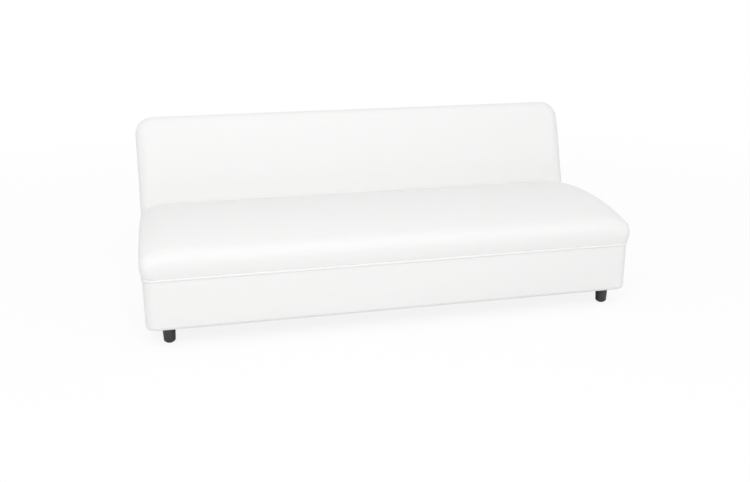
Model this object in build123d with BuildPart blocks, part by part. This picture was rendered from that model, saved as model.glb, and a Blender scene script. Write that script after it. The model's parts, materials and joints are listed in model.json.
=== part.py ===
from build123d import *
import os
from math import atan, cos, radians, sin, sqrt, tan

os.makedirs("parts", exist_ok=True)

# Armless sofa. Millimetres, +Z up, +X along the seat, +Y towards the back.
# The origin is on the floor, under the middle of the whole sofa.

# ---- Driving dimensions -------------------------------------------------------------------

sofa_length = 1900.0  # over the ends of the seat and of the back
sofa_height = 724.0  # floor to the top of the back
seat_depth = 636.0  # front of the base to the face of the back, at the seat's rear edge
seat_thickness = 127.0  # piped seam to the seat's rear edge
base_height = 190.0  # underside of the base to the piped seam
foot_height = 64.0  # floor to the frame's dust cloth

crown_radius = 1380.0  # arc of the seat's top, from front to rear
crown_setback = 260.0  # face of the back to the highest line of the seat
front_roll = 40.0  # width of the rolled front edge
seat_overhang = 9.0  # how far the seat stands out past the base
shoulder_reach = 115.0  # length of seat, at each end, that slopes down
shoulder_radius = 260.0
corner_radius = 40.0  # upright corners of seat and base
base_edge_radius = 8.0  # where the base's cover turns under

back_rake = radians(18.5)
back_thickness = 105.0
back_bulge = 7.0  # belly of the back's face, over the seat
belly_ease = 40.0  # where the face turns out from the seat into its belly
back_edge_radius = 42.0
back_corner_radius = 75.0
rear_seam_inset = 6.0  # rounded rim of the back to the seam of its rear panel

cover = 2.0  # leatherette with its fleece backing
wadding = 8.0
base_padding = 6.0
layer_gap = 0.3  # between one soft layer and the next
dust_cloth = 1.0
hem_width = 30.0  # cover turned under the base
seam_radius = 3.0  # piping cord in its leatherette sleeve
seam_stand_off = 1.5  # centre of the piping in front of the base's face

rail_thickness = 25.0
corner_post = 36.0
cross_rail_height = 110.0
seat_rail_rise = 17.0  # top of the seat rails over the seam
support_set_back = 18.0  # rear of the seat's rear rail to the foot of the back
post_thickness = 27.0
post_width = 70.0  # foot of a back post, below the seat
back_foam = 32.0
backboard = 3.0
rear_wadding = 6.0
rear_wadding_corner = 25.0  # radius of the rear wadding's two upper corners
back_rail_height = 50.0
back_rail_clearance = 5.0  # lower back rails over the seam, at their rear

strap_width = 60.0
strap_thickness = 1.5
strap_gap = 0.2  # between two straps where one crosses over the other
strap_ramp = 14.0
strap_lap = 20.0  # how far a strap reaches over the rail that holds it
seat_strap_rows = 4
seat_strap_columns = 13
back_strap_rows = 3
back_strap_columns = 11
deck_cloth = 2.0

dowel_radius = 5.0
dowel_length = 40.0
dowel_fit = 0.1
dowel_heights = (32.0, 82.0)  # over the underside of the rails
dowel_stagger = 14.0  # a post's two rails have their dowels at different heights
support_dowel_inset = 25.0

bolt_radius = 4.0
bolt_fit = 0.3
bolt_head_radius = 10.0
bolt_head_height = 4.0
counterbore = 5.0
counterbore_radius = 11.0
bolt_heights = (48.0, 88.0)  # over the underside of the rails
bolt_set_back = 18.0  # front of a post to its bolts
bolt_end = 3.0  # thread showing past the nut
washer_radius = 9.0
washer_thickness = 1.6
nut_across_flats = 13.0
nut_height = 6.5

foot_radius = 24.0
foot_toe_radius = 21.0
foot_toe_round = 7.0
foot_inset_x = 80.0  # end of the base to the foot's axis
foot_inset_y = 57.0  # front or rear of the base to the foot's axis
glide_radius = 13.0
glide_height = 3.0
block_thickness = 27.0
block_length = 110.0
block_width = 90.0
block_fit = 0.2
stud_radius = 4.0
stud_fit = 0.1
stud_in_foot = 30.0
tee_barrel_radius = 5.0
tee_barrel_length = 12.0
tee_flange_radius = 10.0
tee_flange_thickness = 1.5

# ---- Heights and lengths that follow from them --------------------------------------------

half_length = sofa_length / 2
base_half = half_length - seat_overhang
rail_bottom = foot_height + dust_cloth
base_bottom = rail_bottom - cover
base_top = base_bottom + base_height
seat_height = base_top + seat_thickness
seat_top = seat_height + crown_radius - sqrt(crown_radius**2 - crown_setback**2)
seat_rail_top = base_top + seat_rail_rise
low_rail_top = base_top - cover

# The back stands on the base in a raked plane. "Up" runs along its face, "in" runs square
# to it, from the face towards the rear.
back_up = (sofa_height - base_top - back_edge_radius * (1 - sin(back_rake))) / cos(back_rake)
back_up += back_edge_radius
foot_reach = seat_depth - seat_thickness * tan(back_rake)
rear_reach = (
    foot_reach
    + (back_up - back_edge_radius) * sin(back_rake)
    + (back_thickness - back_edge_radius) * cos(back_rake)
    + back_edge_radius
)
base_front = seat_overhang - (rear_reach + seat_overhang) / 2
base_rear = base_front + foot_reach + back_thickness / cos(back_rake)
back_foot = base_front + foot_reach

frame_inset = cover + base_padding + 2 * layer_gap
frame_half = base_half - frame_inset
frame_front = base_front + frame_inset
frame_rear = base_rear - frame_inset
support_rear = back_foot - support_set_back
cross_rail_x = frame_half / 3
foam_inset = cover + wadding + 2 * layer_gap

strap_rise = strap_thickness + strap_gap
deck_rise = strap_rise + strap_thickness + strap_gap
deck_top = seat_rail_top + deck_rise + deck_cloth

back_frame_in = foam_inset + back_foam + layer_gap + deck_cloth + deck_rise
back_frame_out = back_thickness - cover - rear_wadding - backboard - 2 * layer_gap
back_frame_half = frame_half - rail_thickness
back_frame_up = back_up - back_frame_in
back_rail_lift = back_thickness * tan(back_rake) + back_rail_clearance
bolt_length = rail_thickness + post_thickness + washer_thickness + nut_height + bolt_end
post_front = frame_rear - rail_thickness - post_width

face_plane = Plane(
    origin=(0, back_foot, base_top),
    x_dir=(1, 0, 0),
    z_dir=(0, -cos(back_rake), sin(back_rake)),
)
side_plane = Plane(
    origin=(0, back_foot, base_top),
    x_dir=(0, cos(back_rake), -sin(back_rake)),
    z_dir=(1, 0, 0),
)


def raked_y(depth_in, height):
    """Y of the plane that lies depth_in behind the back's face, at a height over the floor."""
    return back_foot + depth_in / cos(back_rake) + (height - base_top) * tan(back_rake)


# ---- Shapes that several pieces share -----------------------------------------------------


def board(low, high):
    """A sawn board between two opposite corners."""
    with BuildPart() as piece:
        with BuildSketch(Plane.XY.offset(low[2])):
            with Locations(((low[0] + high[0]) / 2, (low[1] + high[1]) / 2)):
                Rectangle(high[0] - low[0], high[1] - low[1])
        extrude(amount=high[2] - low[2])
    return piece


def raked_board(half_width, low_up, high_up, depth_in, depth_out, middle_x=0.0):
    """A board that lies in the raked plane of the back."""
    with BuildPart() as piece:
        with BuildSketch(face_plane.offset(-depth_in)):
            with Locations((middle_x, (low_up + high_up) / 2)):
                Rectangle(2 * half_width, high_up - low_up)
        extrude(amount=depth_in - depth_out)
    return piece


def base_form(inset, top):
    """The upholstered base, taken in by inset at its sides and underneath."""
    with BuildPart() as form:
        with BuildSketch(Plane.XY.offset(base_bottom + inset)):
            with Locations((0, (base_front + base_rear) / 2)):
                RectangleRounded(
                    2 * (base_half - inset), base_rear - base_front - 2 * inset, corner_radius - inset
                )
        extrude(amount=top - base_bottom - inset)
        if base_edge_radius > inset:
            fillet(form.edges().group_by(Axis.Z)[0], base_edge_radius - inset)
    return form.part


def base_window(inset, low, high):
    """The space inside the base's outline, between two heights, taken in by inset."""
    with BuildPart() as window:
        with BuildSketch(Plane.XY.offset(low)):
            with Locations((0, (base_front + base_rear) / 2)):
                RectangleRounded(
                    2 * (base_half - inset),
                    base_rear - base_front - 2 * inset,
                    max(corner_radius - inset, cover),
                )
        extrude(amount=high - low)
    return window.part


def seat_window(inset, low, high, rear_y):
    """The same space as far back as rear_y: rounded in front and square at the rear."""
    with BuildPart() as window:
        add(base_window(inset, low, high))
        split(bisect_by=Plane.XZ.offset(-rear_y), keep=Keep.TOP)
    return window.part


# The seat's crown is one long arc from front to rear. It rolls over the front edge and is
# drawn in to the seam below.
crown_y = base_front + seat_depth - crown_setback
roll_y = base_front - seat_overhang + front_roll
roll_slope = atan((crown_y - roll_y) / sqrt(crown_radius**2 - (crown_y - roll_y) ** 2))
roll_z = seat_top - crown_radius * (1 - cos(roll_slope))
bulge_z = roll_z - front_roll * tan((radians(90) + roll_slope) / 2)
shoulder_stations = 5
end_rim_tolerance = 12.0
tucked_length = 60.0


def seat_form(inset):
    """The upholstered seat, taken in by inset all round.

    One end slopes down as a shoulder, is trimmed to its own drawn-in side and rounded over,
    then the straight middle is drawn out of it and the whole is mirrored.
    """
    shoulder = half_length - shoulder_reach
    with BuildPart() as form:
        for station in range(shoulder_stations):
            past = (shoulder_reach - inset) * station / (shoulder_stations - 1)
            drop = shoulder_radius - sqrt(shoulder_radius**2 - past**2)
            draw_in = 2 * atan(seat_overhang / (bulge_z - drop - base_top))
            rear_z = seat_height - drop - inset
            rear_in = -inset - layer_gap
            sole = base_top + inset * sin(draw_in)
            with BuildSketch(Plane.YZ.offset(shoulder + past)):
                with BuildLine():
                    crown = ThreePointArc(
                        (raked_y(rear_in, rear_z), rear_z),
                        (crown_y, seat_top - drop - inset),
                        (roll_y + inset * sin(roll_slope), roll_z - drop - inset * cos(roll_slope)),
                    )
                    roll = TangentArc(
                        crown @ 1,
                        (base_front - seat_overhang + inset, bulge_z - drop),
                        tangent=crown % 1,
                    )
                    side = TangentArc(
                        roll @ 1, (base_front + inset * cos(draw_in), sole), tangent=roll % 1
                    )
                    Polyline(side @ 1, (raked_y(rear_in, sole), sole), crown @ 0)
                make_face()
        loft()
        with BuildSketch(Plane.XZ):
            with BuildLine():
                end = TangentArc(
                    (half_length - inset, bulge_z), (base_half - inset, base_top), tangent=(0, -1)
                )
                Polyline(
                    end @ 0,
                    (half_length - inset, sofa_height),
                    (0, sofa_height),
                    (0, base_top),
                    end @ 1,
                )
            make_face()
        extrude(amount=2 * seat_depth, both=True, mode=Mode.INTERSECT)
        rim = form.edges().filter_by(GeomType.LINE, reverse=True)
        rim = rim.filter_by(lambda edge: edge.center().X > base_half - inset - end_rim_tolerance)
        rim = rim.filter_by(lambda edge: edge.center().Z > base_top + inset + layer_gap)
        rim = rim.filter_by(lambda edge: edge.center().Y < base_front + seat_depth - tucked_length)
        fillet(rim, corner_radius - inset)
        extrude(form.faces().sort_by(Axis.X)[0], amount=shoulder)
        mirror(about=Plane.YZ)
    return form.part


def height_up(edge):
    """Height of an edge's middle in the raked plane, over the seam."""
    return face_plane.to_local_coords(edge.center()).Y


def runs_in(edge):
    """Whether an edge runs square through the back, from face to rear."""
    return abs(edge.tangent_at(0).dot(face_plane.z_dir)) > cos(back_rake)


def is_on_rim(edge):
    """Whether an edge goes round the back's top or one of its ends."""
    at_end = abs(edge.center().X) > half_length - back_corner_radius
    return height_up(edge) > 0 and (at_end or height_up(edge) > back_up - back_corner_radius)


def back_form(inset):
    """The upholstered back, taken in by inset all round and cut level at its foot."""
    far_down = -back_thickness
    flat_up = (seat_thickness + back_bulge) / cos(back_rake)
    with BuildPart() as form:
        with BuildSketch(side_plane):
            with BuildLine():
                foot = Line((inset, far_down), (inset, flat_up))
                ease = TangentArc(
                    foot @ 1,
                    (inset - back_bulge / 5, flat_up + belly_ease),
                    tangent=foot % 1,
                )
                belly = TangentArc(ease @ 1, (inset, back_up - inset), tangent=ease % 1)
                Polyline(
                    belly @ 1,
                    (back_thickness - inset, back_up - inset),
                    (back_thickness - inset, far_down),
                    foot @ 0,
                )
            make_face()
        extrude(amount=half_length - inset, both=True)
        corners = form.edges().filter_by(lambda edge: runs_in(edge) and height_up(edge) > back_up / 2)
        fillet(corners, back_corner_radius - inset)
        rim = form.edges().filter_by(lambda edge: not runs_in(edge) and is_on_rim(edge))
        fillet(rim, back_edge_radius - inset)
        split(bisect_by=Plane.XY.offset(base_top), keep=Keep.TOP)
    return form.part


# ---- Dowels and their sites ----------------------------------------------------------------

along_x = (0, 90, 0)
along_y = (90, 0, 0)
rail_middle = rail_thickness / 2
post_face_x = frame_half - corner_post

dowel_sites = []
for side in (-1, 1):
    for rise in dowel_heights:
        z = rail_bottom + rise
        end_z = z + dowel_stagger
        end_x = side * (frame_half - rail_middle)
        dowel_sites += [
            Location((side * post_face_x, frame_front + rail_middle, z), along_x),
            Location((side * post_face_x, frame_rear - rail_middle, z), along_x),
            Location((end_x, frame_front + corner_post, end_z), along_y),
            Location((end_x, frame_rear - corner_post, end_z), along_y),
            Location((side * cross_rail_x, frame_front + rail_thickness, z), along_y),
            Location((side * cross_rail_x, frame_rear - rail_thickness, z), along_y),
        ]
    for z in (
        rail_bottom + cross_rail_height + support_dowel_inset,
        seat_rail_top - support_dowel_inset,
    ):
        dowel_sites.append(
            Location((side * back_frame_half, support_rear - rail_middle, z), along_x)
        )


def drill_for_dowels():
    """Blind holes, in the board being made, at every dowel that reaches it."""
    with Locations(*dowel_sites):
        Cylinder(
            dowel_radius + dowel_fit, dowel_length + 2 * dowel_fit, mode=Mode.SUBTRACT
        )


with BuildPart() as frame_dowels:
    with Locations(*dowel_sites):
        Cylinder(dowel_radius, dowel_length)
frame_dowels.part.label = "frame_dowels"
export_step(frame_dowels.part, "parts/frame_dowels.step")

# ---- Bolts that hold the back's posts ------------------------------------------------------

# Each bolt enters a rail's outer face, in a counterbore, and leaves through the post that
# stands against the rail's inner face.
bolt_y = post_front + bolt_set_back
bolt_sites = []
for outer_x in (frame_half, cross_rail_x + rail_middle):
    for rise in bolt_heights:
        site = Plane(
            origin=(outer_x, bolt_y, rail_bottom + rise), x_dir=(0, 1, 0), z_dir=(-1, 0, 0)
        )
        bolt_sites.append(site)
        bolt_sites.append(
            Plane(origin=(-outer_x, bolt_y, rail_bottom + rise), x_dir=(0, 1, 0), z_dir=(1, 0, 0))
        )


def drill_for_bolts():
    """Holes through the board being made, with a counterbore at each bolt's head."""
    with Locations(*bolt_sites):
        Cylinder(
            bolt_radius + bolt_fit,
            rail_thickness + post_thickness,
            align=(Align.CENTER, Align.CENTER, Align.MIN),
            mode=Mode.SUBTRACT,
        )
        Cylinder(
            counterbore_radius,
            counterbore,
            align=(Align.CENTER, Align.CENTER, Align.MIN),
            mode=Mode.SUBTRACT,
        )


with BuildPart(mode=Mode.PRIVATE) as bolt:
    with BuildSketch(Plane.XZ):
        with BuildLine():
            dome = ThreePointArc(
                (0, counterbore - bolt_head_height),
                (bolt_head_radius * 0.7, counterbore - bolt_head_height * 0.7),
                (bolt_head_radius, counterbore),
            )
            Polyline(
                dome @ 1, (bolt_radius, counterbore), (bolt_radius, bolt_length), (0, bolt_length), dome @ 0
            )
        make_face()
    revolve(axis=Axis.Z)

with BuildPart() as post_bolts:
    with Locations(*bolt_sites):
        add(bolt.part)
post_bolts.part.label = "post_bolts"
export_step(post_bolts.part, "parts/post_bolts.step")

washer_seat = rail_thickness + post_thickness
with BuildPart() as post_washers:
    with Locations(*[site.offset(washer_seat) for site in bolt_sites]):
        Cylinder(washer_radius, washer_thickness, align=(Align.CENTER, Align.CENTER, Align.MIN))
        Cylinder(
            bolt_radius + bolt_fit,
            washer_thickness,
            align=(Align.CENTER, Align.CENTER, Align.MIN),
            mode=Mode.SUBTRACT,
        )
post_washers.part.label = "post_washers"
export_step(post_washers.part, "parts/post_washers.step")

with BuildPart() as post_nuts:
    for site in bolt_sites:
        with BuildSketch(site.offset(washer_seat + washer_thickness)):
            RegularPolygon(nut_across_flats / 2, 6, major_radius=False)
            Circle(bolt_radius + stud_fit, mode=Mode.SUBTRACT)
        extrude(amount=nut_height)
post_nuts.part.label = "post_nuts"
export_step(post_nuts.part, "parts/post_nuts.step")

# ---- Timber base ---------------------------------------------------------------------------

sides = {"left": -1, "right": 1}

base_front_rail = board(
    (-post_face_x, frame_front, rail_bottom),
    (post_face_x, frame_front + rail_thickness, seat_rail_top),
)
with base_front_rail:
    drill_for_dowels()
base_front_rail.part.label = "base_front_rail"
export_step(base_front_rail.part, "parts/base_front_rail.step")

base_rear_rail = board(
    (-post_face_x, frame_rear - rail_thickness, rail_bottom),
    (post_face_x, frame_rear, low_rail_top),
)
with base_rear_rail:
    drill_for_dowels()
base_rear_rail.part.label = "base_rear_rail"
export_step(base_rear_rail.part, "parts/base_rear_rail.step")

# An end rail is high under the seat and steps down where the back stands on it.
for name, side in sides.items():
    with BuildPart() as base_end_rail:
        with BuildSketch(Plane.YZ.offset(side * frame_half)):
            with BuildLine():
                Polyline(
                    (frame_front + corner_post, rail_bottom),
                    (frame_rear - corner_post, rail_bottom),
                    (frame_rear - corner_post, low_rail_top),
                    (support_rear, low_rail_top),
                    (support_rear, seat_rail_top),
                    (frame_front + corner_post, seat_rail_top),
                    close=True,
                )
            make_face()
        extrude(amount=-side * rail_thickness)
        drill_for_dowels()
        drill_for_bolts()
    base_end_rail.part.label = f"base_end_rail_{name}"
    export_step(base_end_rail.part, f"parts/base_end_rail_{name}.step")

for name, side in sides.items():
    cross_rail = board(
        (side * cross_rail_x - rail_middle, frame_front + rail_thickness, rail_bottom),
        (
            side * cross_rail_x + rail_middle,
            frame_rear - rail_thickness,
            rail_bottom + cross_rail_height,
        ),
    )
    with cross_rail:
        drill_for_dowels()
        drill_for_bolts()
    cross_rail.part.label = f"cross_rail_{name}"
    export_step(cross_rail.part, f"parts/cross_rail_{name}.step")

seat_rear_rail = board(
    (-back_frame_half, support_rear - rail_thickness, rail_bottom + cross_rail_height),
    (back_frame_half, support_rear, seat_rail_top),
)
with seat_rear_rail:
    drill_for_dowels()
seat_rear_rail.part.label = "seat_rear_rail"
export_step(seat_rear_rail.part, "parts/seat_rear_rail.step")

# The corner posts give the base its rounded upright corners.
post_ends = {
    "front": (frame_front, frame_front + corner_post, seat_rail_top),
    "rear": (frame_rear - corner_post, frame_rear, low_rail_top),
}
for end_name, (low_y, high_y, top_z) in post_ends.items():
    for name, side in sides.items():
        low_x, high_x = sorted((side * post_face_x, side * frame_half))
        post = board((low_x, low_y, rail_bottom), (high_x, high_y, top_z))
        with post:
            outer_y = frame_front if end_name == "front" else frame_rear
            corner = (side * frame_half, outer_y, top_z)
            outer = post.edges().filter_by(Axis.Z).sort_by_distance(corner)
            fillet(outer[0], corner_radius - frame_inset)
            drill_for_dowels()
        post.part.label = f"corner_post_{end_name}_{name}"
        export_step(post.part, f"parts/corner_post_{end_name}_{name}.step")

# ---- Feet and what they screw into ---------------------------------------------------------

foot_x = base_half - foot_inset_x
foot_ys = {"front": base_front + foot_inset_y, "rear": base_rear - foot_inset_y}
foot_sites = [(side * foot_x, y) for y in foot_ys.values() for side in sides.values()]
block_top = rail_bottom + block_thickness

for end_name, foot_y in foot_ys.items():
    inward = 1 if end_name == "front" else -1
    rail_y = frame_front + rail_thickness if end_name == "front" else frame_rear - rail_thickness
    post_y = frame_front + corner_post if end_name == "front" else frame_rear - corner_post
    for name, side in sides.items():
        block_x = side * (back_frame_half - block_length / 2)
        with BuildPart() as block:
            with BuildSketch(Plane.XY.offset(rail_bottom)):
                with Locations((block_x, rail_y + inward * block_width / 2)):
                    Rectangle(block_length, block_width)
                notch_x = side * (post_face_x - block_fit + sofa_length / 2)
                notch_y = post_y + inward * (block_fit - sofa_length / 2)
                with Locations((notch_x, notch_y)):
                    Rectangle(sofa_length, sofa_length, mode=Mode.SUBTRACT)
                with Locations((side * foot_x, foot_y)):
                    Circle(tee_barrel_radius + stud_fit, mode=Mode.SUBTRACT)
            extrude(amount=block_thickness)
        block.part.label = f"foot_block_{end_name}_{name}"
        export_step(block.part, f"parts/foot_block_{end_name}_{name}.step")

        with BuildPart() as foot:
            with BuildSketch(Plane.XZ):
                with BuildLine():
                    Polyline(
                        (0, glide_height),
                        (foot_toe_radius, glide_height),
                        (foot_radius, foot_height),
                        (0, foot_height),
                        close=True,
                    )
                turned = make_face()
                fillet(turned.vertices().sort_by(Axis.Y)[:2].sort_by(Axis.X)[-1], foot_toe_round)
            revolve(axis=Axis.Z)
            with Locations((0, 0, foot_height)):
                Hole(stud_radius + stud_fit, depth=stud_in_foot)
        foot = Pos(side * foot_x, foot_y, 0) * foot.part
        foot.label = f"foot_{end_name}_{name}"
        export_step(foot, f"parts/foot_{end_name}_{name}.step")

with BuildPart() as foot_glides:
    with Locations(*foot_sites):
        Cylinder(glide_radius, glide_height, align=(Align.CENTER, Align.CENTER, Align.MIN))
foot_glides.part.label = "foot_glides"
export_step(foot_glides.part, "parts/foot_glides.step")

with BuildPart() as foot_studs:
    with Locations(*[(x, y, foot_height - stud_in_foot) for x, y in foot_sites]):
        Cylinder(
            stud_radius,
            stud_in_foot + dust_cloth + block_thickness,
            align=(Align.CENTER, Align.CENTER, Align.MIN),
        )
foot_studs.part.label = "foot_studs"
export_step(foot_studs.part, "parts/foot_studs.step")

with BuildPart() as tee_nuts:
    with Locations(*[(x, y, block_top) for x, y in foot_sites]):
        Cylinder(
            tee_flange_radius, tee_flange_thickness, align=(Align.CENTER, Align.CENTER, Align.MIN)
        )
        Cylinder(
            tee_barrel_radius, tee_barrel_length, align=(Align.CENTER, Align.CENTER, Align.MAX)
        )
        Cylinder(stud_radius + stud_fit, 3 * tee_barrel_length, mode=Mode.SUBTRACT)
tee_nuts.part.label = "foot_tee_nuts"
export_step(tee_nuts.part, "parts/foot_tee_nuts.step")

# ---- Base upholstery -----------------------------------------------------------------------


def welt_run(radius, rear_y):
    """The piping's run: round the base's front and both ends, at the seam."""
    out = seam_stand_off
    bend = corner_radius + out
    with BuildPart() as run:
        with BuildLine() as path:
            left = Line(
                (-base_half - out, rear_y, base_top),
                (-base_half - out, base_front - out + bend, base_top),
            )
            front_left = TangentArc(
                left @ 1, (-base_half - out + bend, base_front - out, base_top), tangent=left % 1
            )
            front = Line(
                front_left @ 1, (base_half + out - bend, base_front - out, base_top)
            )
            front_right = TangentArc(
                front @ 1, (base_half + out, base_front - out + bend, base_top), tangent=front % 1
            )
            Line(front_right @ 1, (base_half + out, rear_y, base_top))
        with BuildSketch(path.wire() ^ 0):
            Circle(radius)
        sweep(path=path.wire())
    return run.part


with BuildPart() as seat_piping:
    add(welt_run(seam_radius, back_foot - seam_radius))
seat_piping.part.label = "seat_piping"
export_step(seat_piping.part, "parts/seat_piping.step")

piping_groove = welt_run(seam_radius + layer_gap, back_foot + seam_radius)
padding_in = cover + layer_gap

with BuildPart() as base_padding_band:
    add(base_form(padding_in, base_top - padding_in))
    add(base_window(padding_in + base_padding, base_bottom, base_top), mode=Mode.SUBTRACT)
base_padding_band.part.label = "base_padding"
export_step(base_padding_band.part, "parts/base_padding.step")

with BuildPart() as base_cover:
    add(base_form(0, base_top))
    add(base_form(cover, base_top - cover), mode=Mode.SUBTRACT)
    add(base_window(hem_width, base_bottom - cover, rail_bottom + cover), mode=Mode.SUBTRACT)
    add(base_window(frame_inset, base_top - 2 * cover, base_top + cover), mode=Mode.SUBTRACT)
    add(piping_groove, mode=Mode.SUBTRACT)
base_cover.part.label = "base_cover"
export_step(base_cover.part, "parts/base_cover.step")

with BuildPart() as dust_cover:
    add(base_window(hem_width + layer_gap, foot_height, rail_bottom))
    with Locations(*[(x, y, foot_height) for x, y in foot_sites]):
        Cylinder(tee_barrel_radius, 4 * dust_cloth, mode=Mode.SUBTRACT)
dust_cover.part.label = "dust_cover"
export_step(dust_cover.part, "parts/dust_cover.step")

# ---- Webbing -------------------------------------------------------------------------------


def strap(plane, length, crossings):
    """A strap that lies on a plane, along its X, and rises over other straps at crossings."""
    reach = strap_width / 2 + strap_gap
    underside = [(0, 0)]
    for middle in crossings:
        underside += [
            (middle - reach - strap_ramp, 0),
            (middle - reach, strap_rise),
            (middle + reach, strap_rise),
            (middle + reach + strap_ramp, 0),
        ]
    underside.append((length, 0))
    top = [(along, height + strap_thickness) for along, height in reversed(underside)]
    with BuildPart() as piece:
        with BuildSketch(plane):
            with BuildLine():
                Polyline(*underside, *top, close=True)
            make_face()
        extrude(amount=strap_width / 2, both=True)
    return piece.part


def spaced(low, high, count):
    """The middles of equal steps from low to high."""
    step = (high - low) / count
    return [low + step * (index + 0.5) for index in range(count)]


# Rows run along the sofa, columns across it, and every strap passes over and under in turn.
seat_rows = spaced(frame_front + rail_thickness, support_rear - rail_thickness, seat_strap_rows)
seat_columns = spaced(-back_frame_half, back_frame_half, seat_strap_columns)
row_start = -back_frame_half - strap_lap
column_start = frame_front + rail_thickness - strap_lap
column_length = support_rear - rail_thickness + strap_lap - column_start

with BuildPart() as seat_webbing_long:
    for row, y in enumerate(seat_rows):
        over = [x - row_start for column, x in enumerate(seat_columns) if (row + column) % 2]
        plane = Plane(origin=(row_start, y, seat_rail_top), x_dir=(1, 0, 0), z_dir=(0, -1, 0))
        add(strap(plane, -2 * row_start, over))
seat_webbing_long.part.label = "seat_webbing_long"
export_step(seat_webbing_long.part, "parts/seat_webbing_long.step")

with BuildPart() as seat_webbing_cross:
    for column, x in enumerate(seat_columns):
        over = [y - column_start for row, y in enumerate(seat_rows) if not (row + column) % 2]
        plane = Plane(origin=(x, column_start, seat_rail_top), x_dir=(0, 1, 0), z_dir=(1, 0, 0))
        add(strap(plane, column_length, over))
seat_webbing_cross.part.label = "seat_webbing_cross"
export_step(seat_webbing_cross.part, "parts/seat_webbing_cross.step")

seat_deck = board(
    (-frame_half, frame_front, seat_rail_top + deck_rise), (frame_half, support_rear, deck_top)
)
with seat_deck:
    outer = seat_deck.edges().filter_by(Axis.Z).group_by(Axis.Y)[0]
    fillet(outer, corner_radius - frame_inset)
seat_deck.part.label = "seat_deck_cloth"
export_step(seat_deck.part, "parts/seat_deck_cloth.step")

# ---- Seat upholstery -----------------------------------------------------------------------

with BuildPart() as seat_foam:
    add(seat_form(foam_inset))
    split(bisect_by=Plane.XY.offset(deck_top + layer_gap), keep=Keep.TOP)
seat_foam.part.label = "seat_foam"
export_step(seat_foam.part, "parts/seat_foam.step")

wadding_sole = base_top + cover + layer_gap
with BuildPart() as seat_core:
    add(seat_form(foam_inset - layer_gap))
    split(bisect_by=Plane.XY.offset(deck_top), keep=Keep.TOP)

with BuildPart() as seat_wadding:
    add(seat_form(cover + layer_gap))
    split(bisect_by=Plane.XY.offset(wadding_sole), keep=Keep.TOP)
    add(seat_core.part, mode=Mode.SUBTRACT)
    add(
        seat_window(frame_inset - layer_gap, base_top, deck_top, support_rear + layer_gap),
        mode=Mode.SUBTRACT,
    )
seat_wadding.part.label = "seat_wadding"
export_step(seat_wadding.part, "parts/seat_wadding.step")

with BuildPart() as seat_lining:
    add(seat_form(cover))
    split(bisect_by=Plane.XY.offset(base_top + cover), keep=Keep.TOP)

with BuildPart() as seat_cover:
    add(seat_form(0))
    add(seat_lining.part, mode=Mode.SUBTRACT)
    add(
        seat_window(
            frame_inset, base_top - cover, base_top + 2 * cover, back_foot - frame_inset
        ),
        mode=Mode.SUBTRACT,
    )
    add(piping_groove, mode=Mode.SUBTRACT)
seat_cover.part.label = "seat_cover"
export_step(seat_cover.part, "parts/seat_cover.step")

# ---- Timber back ---------------------------------------------------------------------------

# A back post is sawn as a dog-leg: upright beside the base's rails, raked above them, with a
# notch that sits over the base's rear rail. The end ones are cut out round the corner posts.
post_foot_z = block_top
post_head_front = face_plane.from_local_coords((0, back_frame_up - back_rail_height, -back_frame_in))
post_head_rear = face_plane.from_local_coords((0, back_frame_up - back_rail_height, -back_frame_out))
post_xs = {
    "end_left": -back_frame_half,
    "inner_left": -cross_rail_x + rail_middle,
    "inner_right": cross_rail_x - rail_middle - post_thickness,
    "end_right": back_frame_half - post_thickness,
}
for name, low_x in post_xs.items():
    with BuildPart() as back_post:
        with BuildSketch(Plane.YZ.offset(low_x)):
            with BuildLine():
                Polyline(
                    (post_front, post_foot_z),
                    (post_front + post_width, post_foot_z),
                    (post_front + post_width, low_rail_top),
                    (raked_y(back_frame_out, low_rail_top), low_rail_top),
                    (post_head_rear.Y, post_head_rear.Z),
                    (post_head_front.Y, post_head_front.Z),
                    (raked_y(back_frame_in, low_rail_top), low_rail_top),
                    (post_front, low_rail_top - rail_thickness),
                    close=True,
                )
            make_face()
        extrude(amount=post_thickness)
        notch = corner_post + block_fit
        for side in sides.values():
            with BuildSketch(Plane.XY.offset(rail_bottom)):
                with Locations((side * (frame_half - notch / 2), frame_rear - notch / 2)):
                    Rectangle(notch, notch)
            extrude(amount=low_rail_top - rail_bottom, mode=Mode.SUBTRACT)
        drill_for_bolts()
    back_post.part.label = f"back_post_{name}"
    export_step(back_post.part, f"parts/back_post_{name}.step")

back_top_rail = raked_board(
    back_frame_half,
    back_frame_up - back_rail_height,
    back_frame_up,
    back_frame_in,
    back_frame_out,
)
back_top_rail.part.label = "back_top_rail"
export_step(back_top_rail.part, "parts/back_top_rail.step")

bays = {
    "left": (post_xs["end_left"] + post_thickness, post_xs["inner_left"]),
    "middle": (post_xs["inner_left"] + post_thickness, post_xs["inner_right"]),
    "right": (post_xs["inner_right"] + post_thickness, post_xs["end_right"]),
}
for name, (low_x, high_x) in bays.items():
    lower_rail = raked_board(
        (high_x - low_x) / 2,
        back_rail_lift,
        back_rail_lift + back_rail_height,
        back_frame_in,
        back_frame_out,
        (low_x + high_x) / 2,
    )
    lower_rail.part.label = f"back_lower_rail_{name}"
    export_step(lower_rail.part, f"parts/back_lower_rail_{name}.step")

# ---- Back webbing --------------------------------------------------------------------------

back_rows = spaced(
    back_rail_lift + back_rail_height, back_frame_up - back_rail_height, back_strap_rows
)
back_columns = spaced(
    -back_frame_half + post_thickness, back_frame_half - post_thickness, back_strap_columns
)
back_row_start = -back_frame_half + post_thickness - strap_lap
back_column_start = back_rail_lift + back_rail_height - strap_lap
back_column_length = back_frame_up - back_rail_height + strap_lap - back_column_start
out_of_face = Vector(0, -cos(back_rake), sin(back_rake))
up_the_face = Vector(0, sin(back_rake), cos(back_rake))

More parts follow.
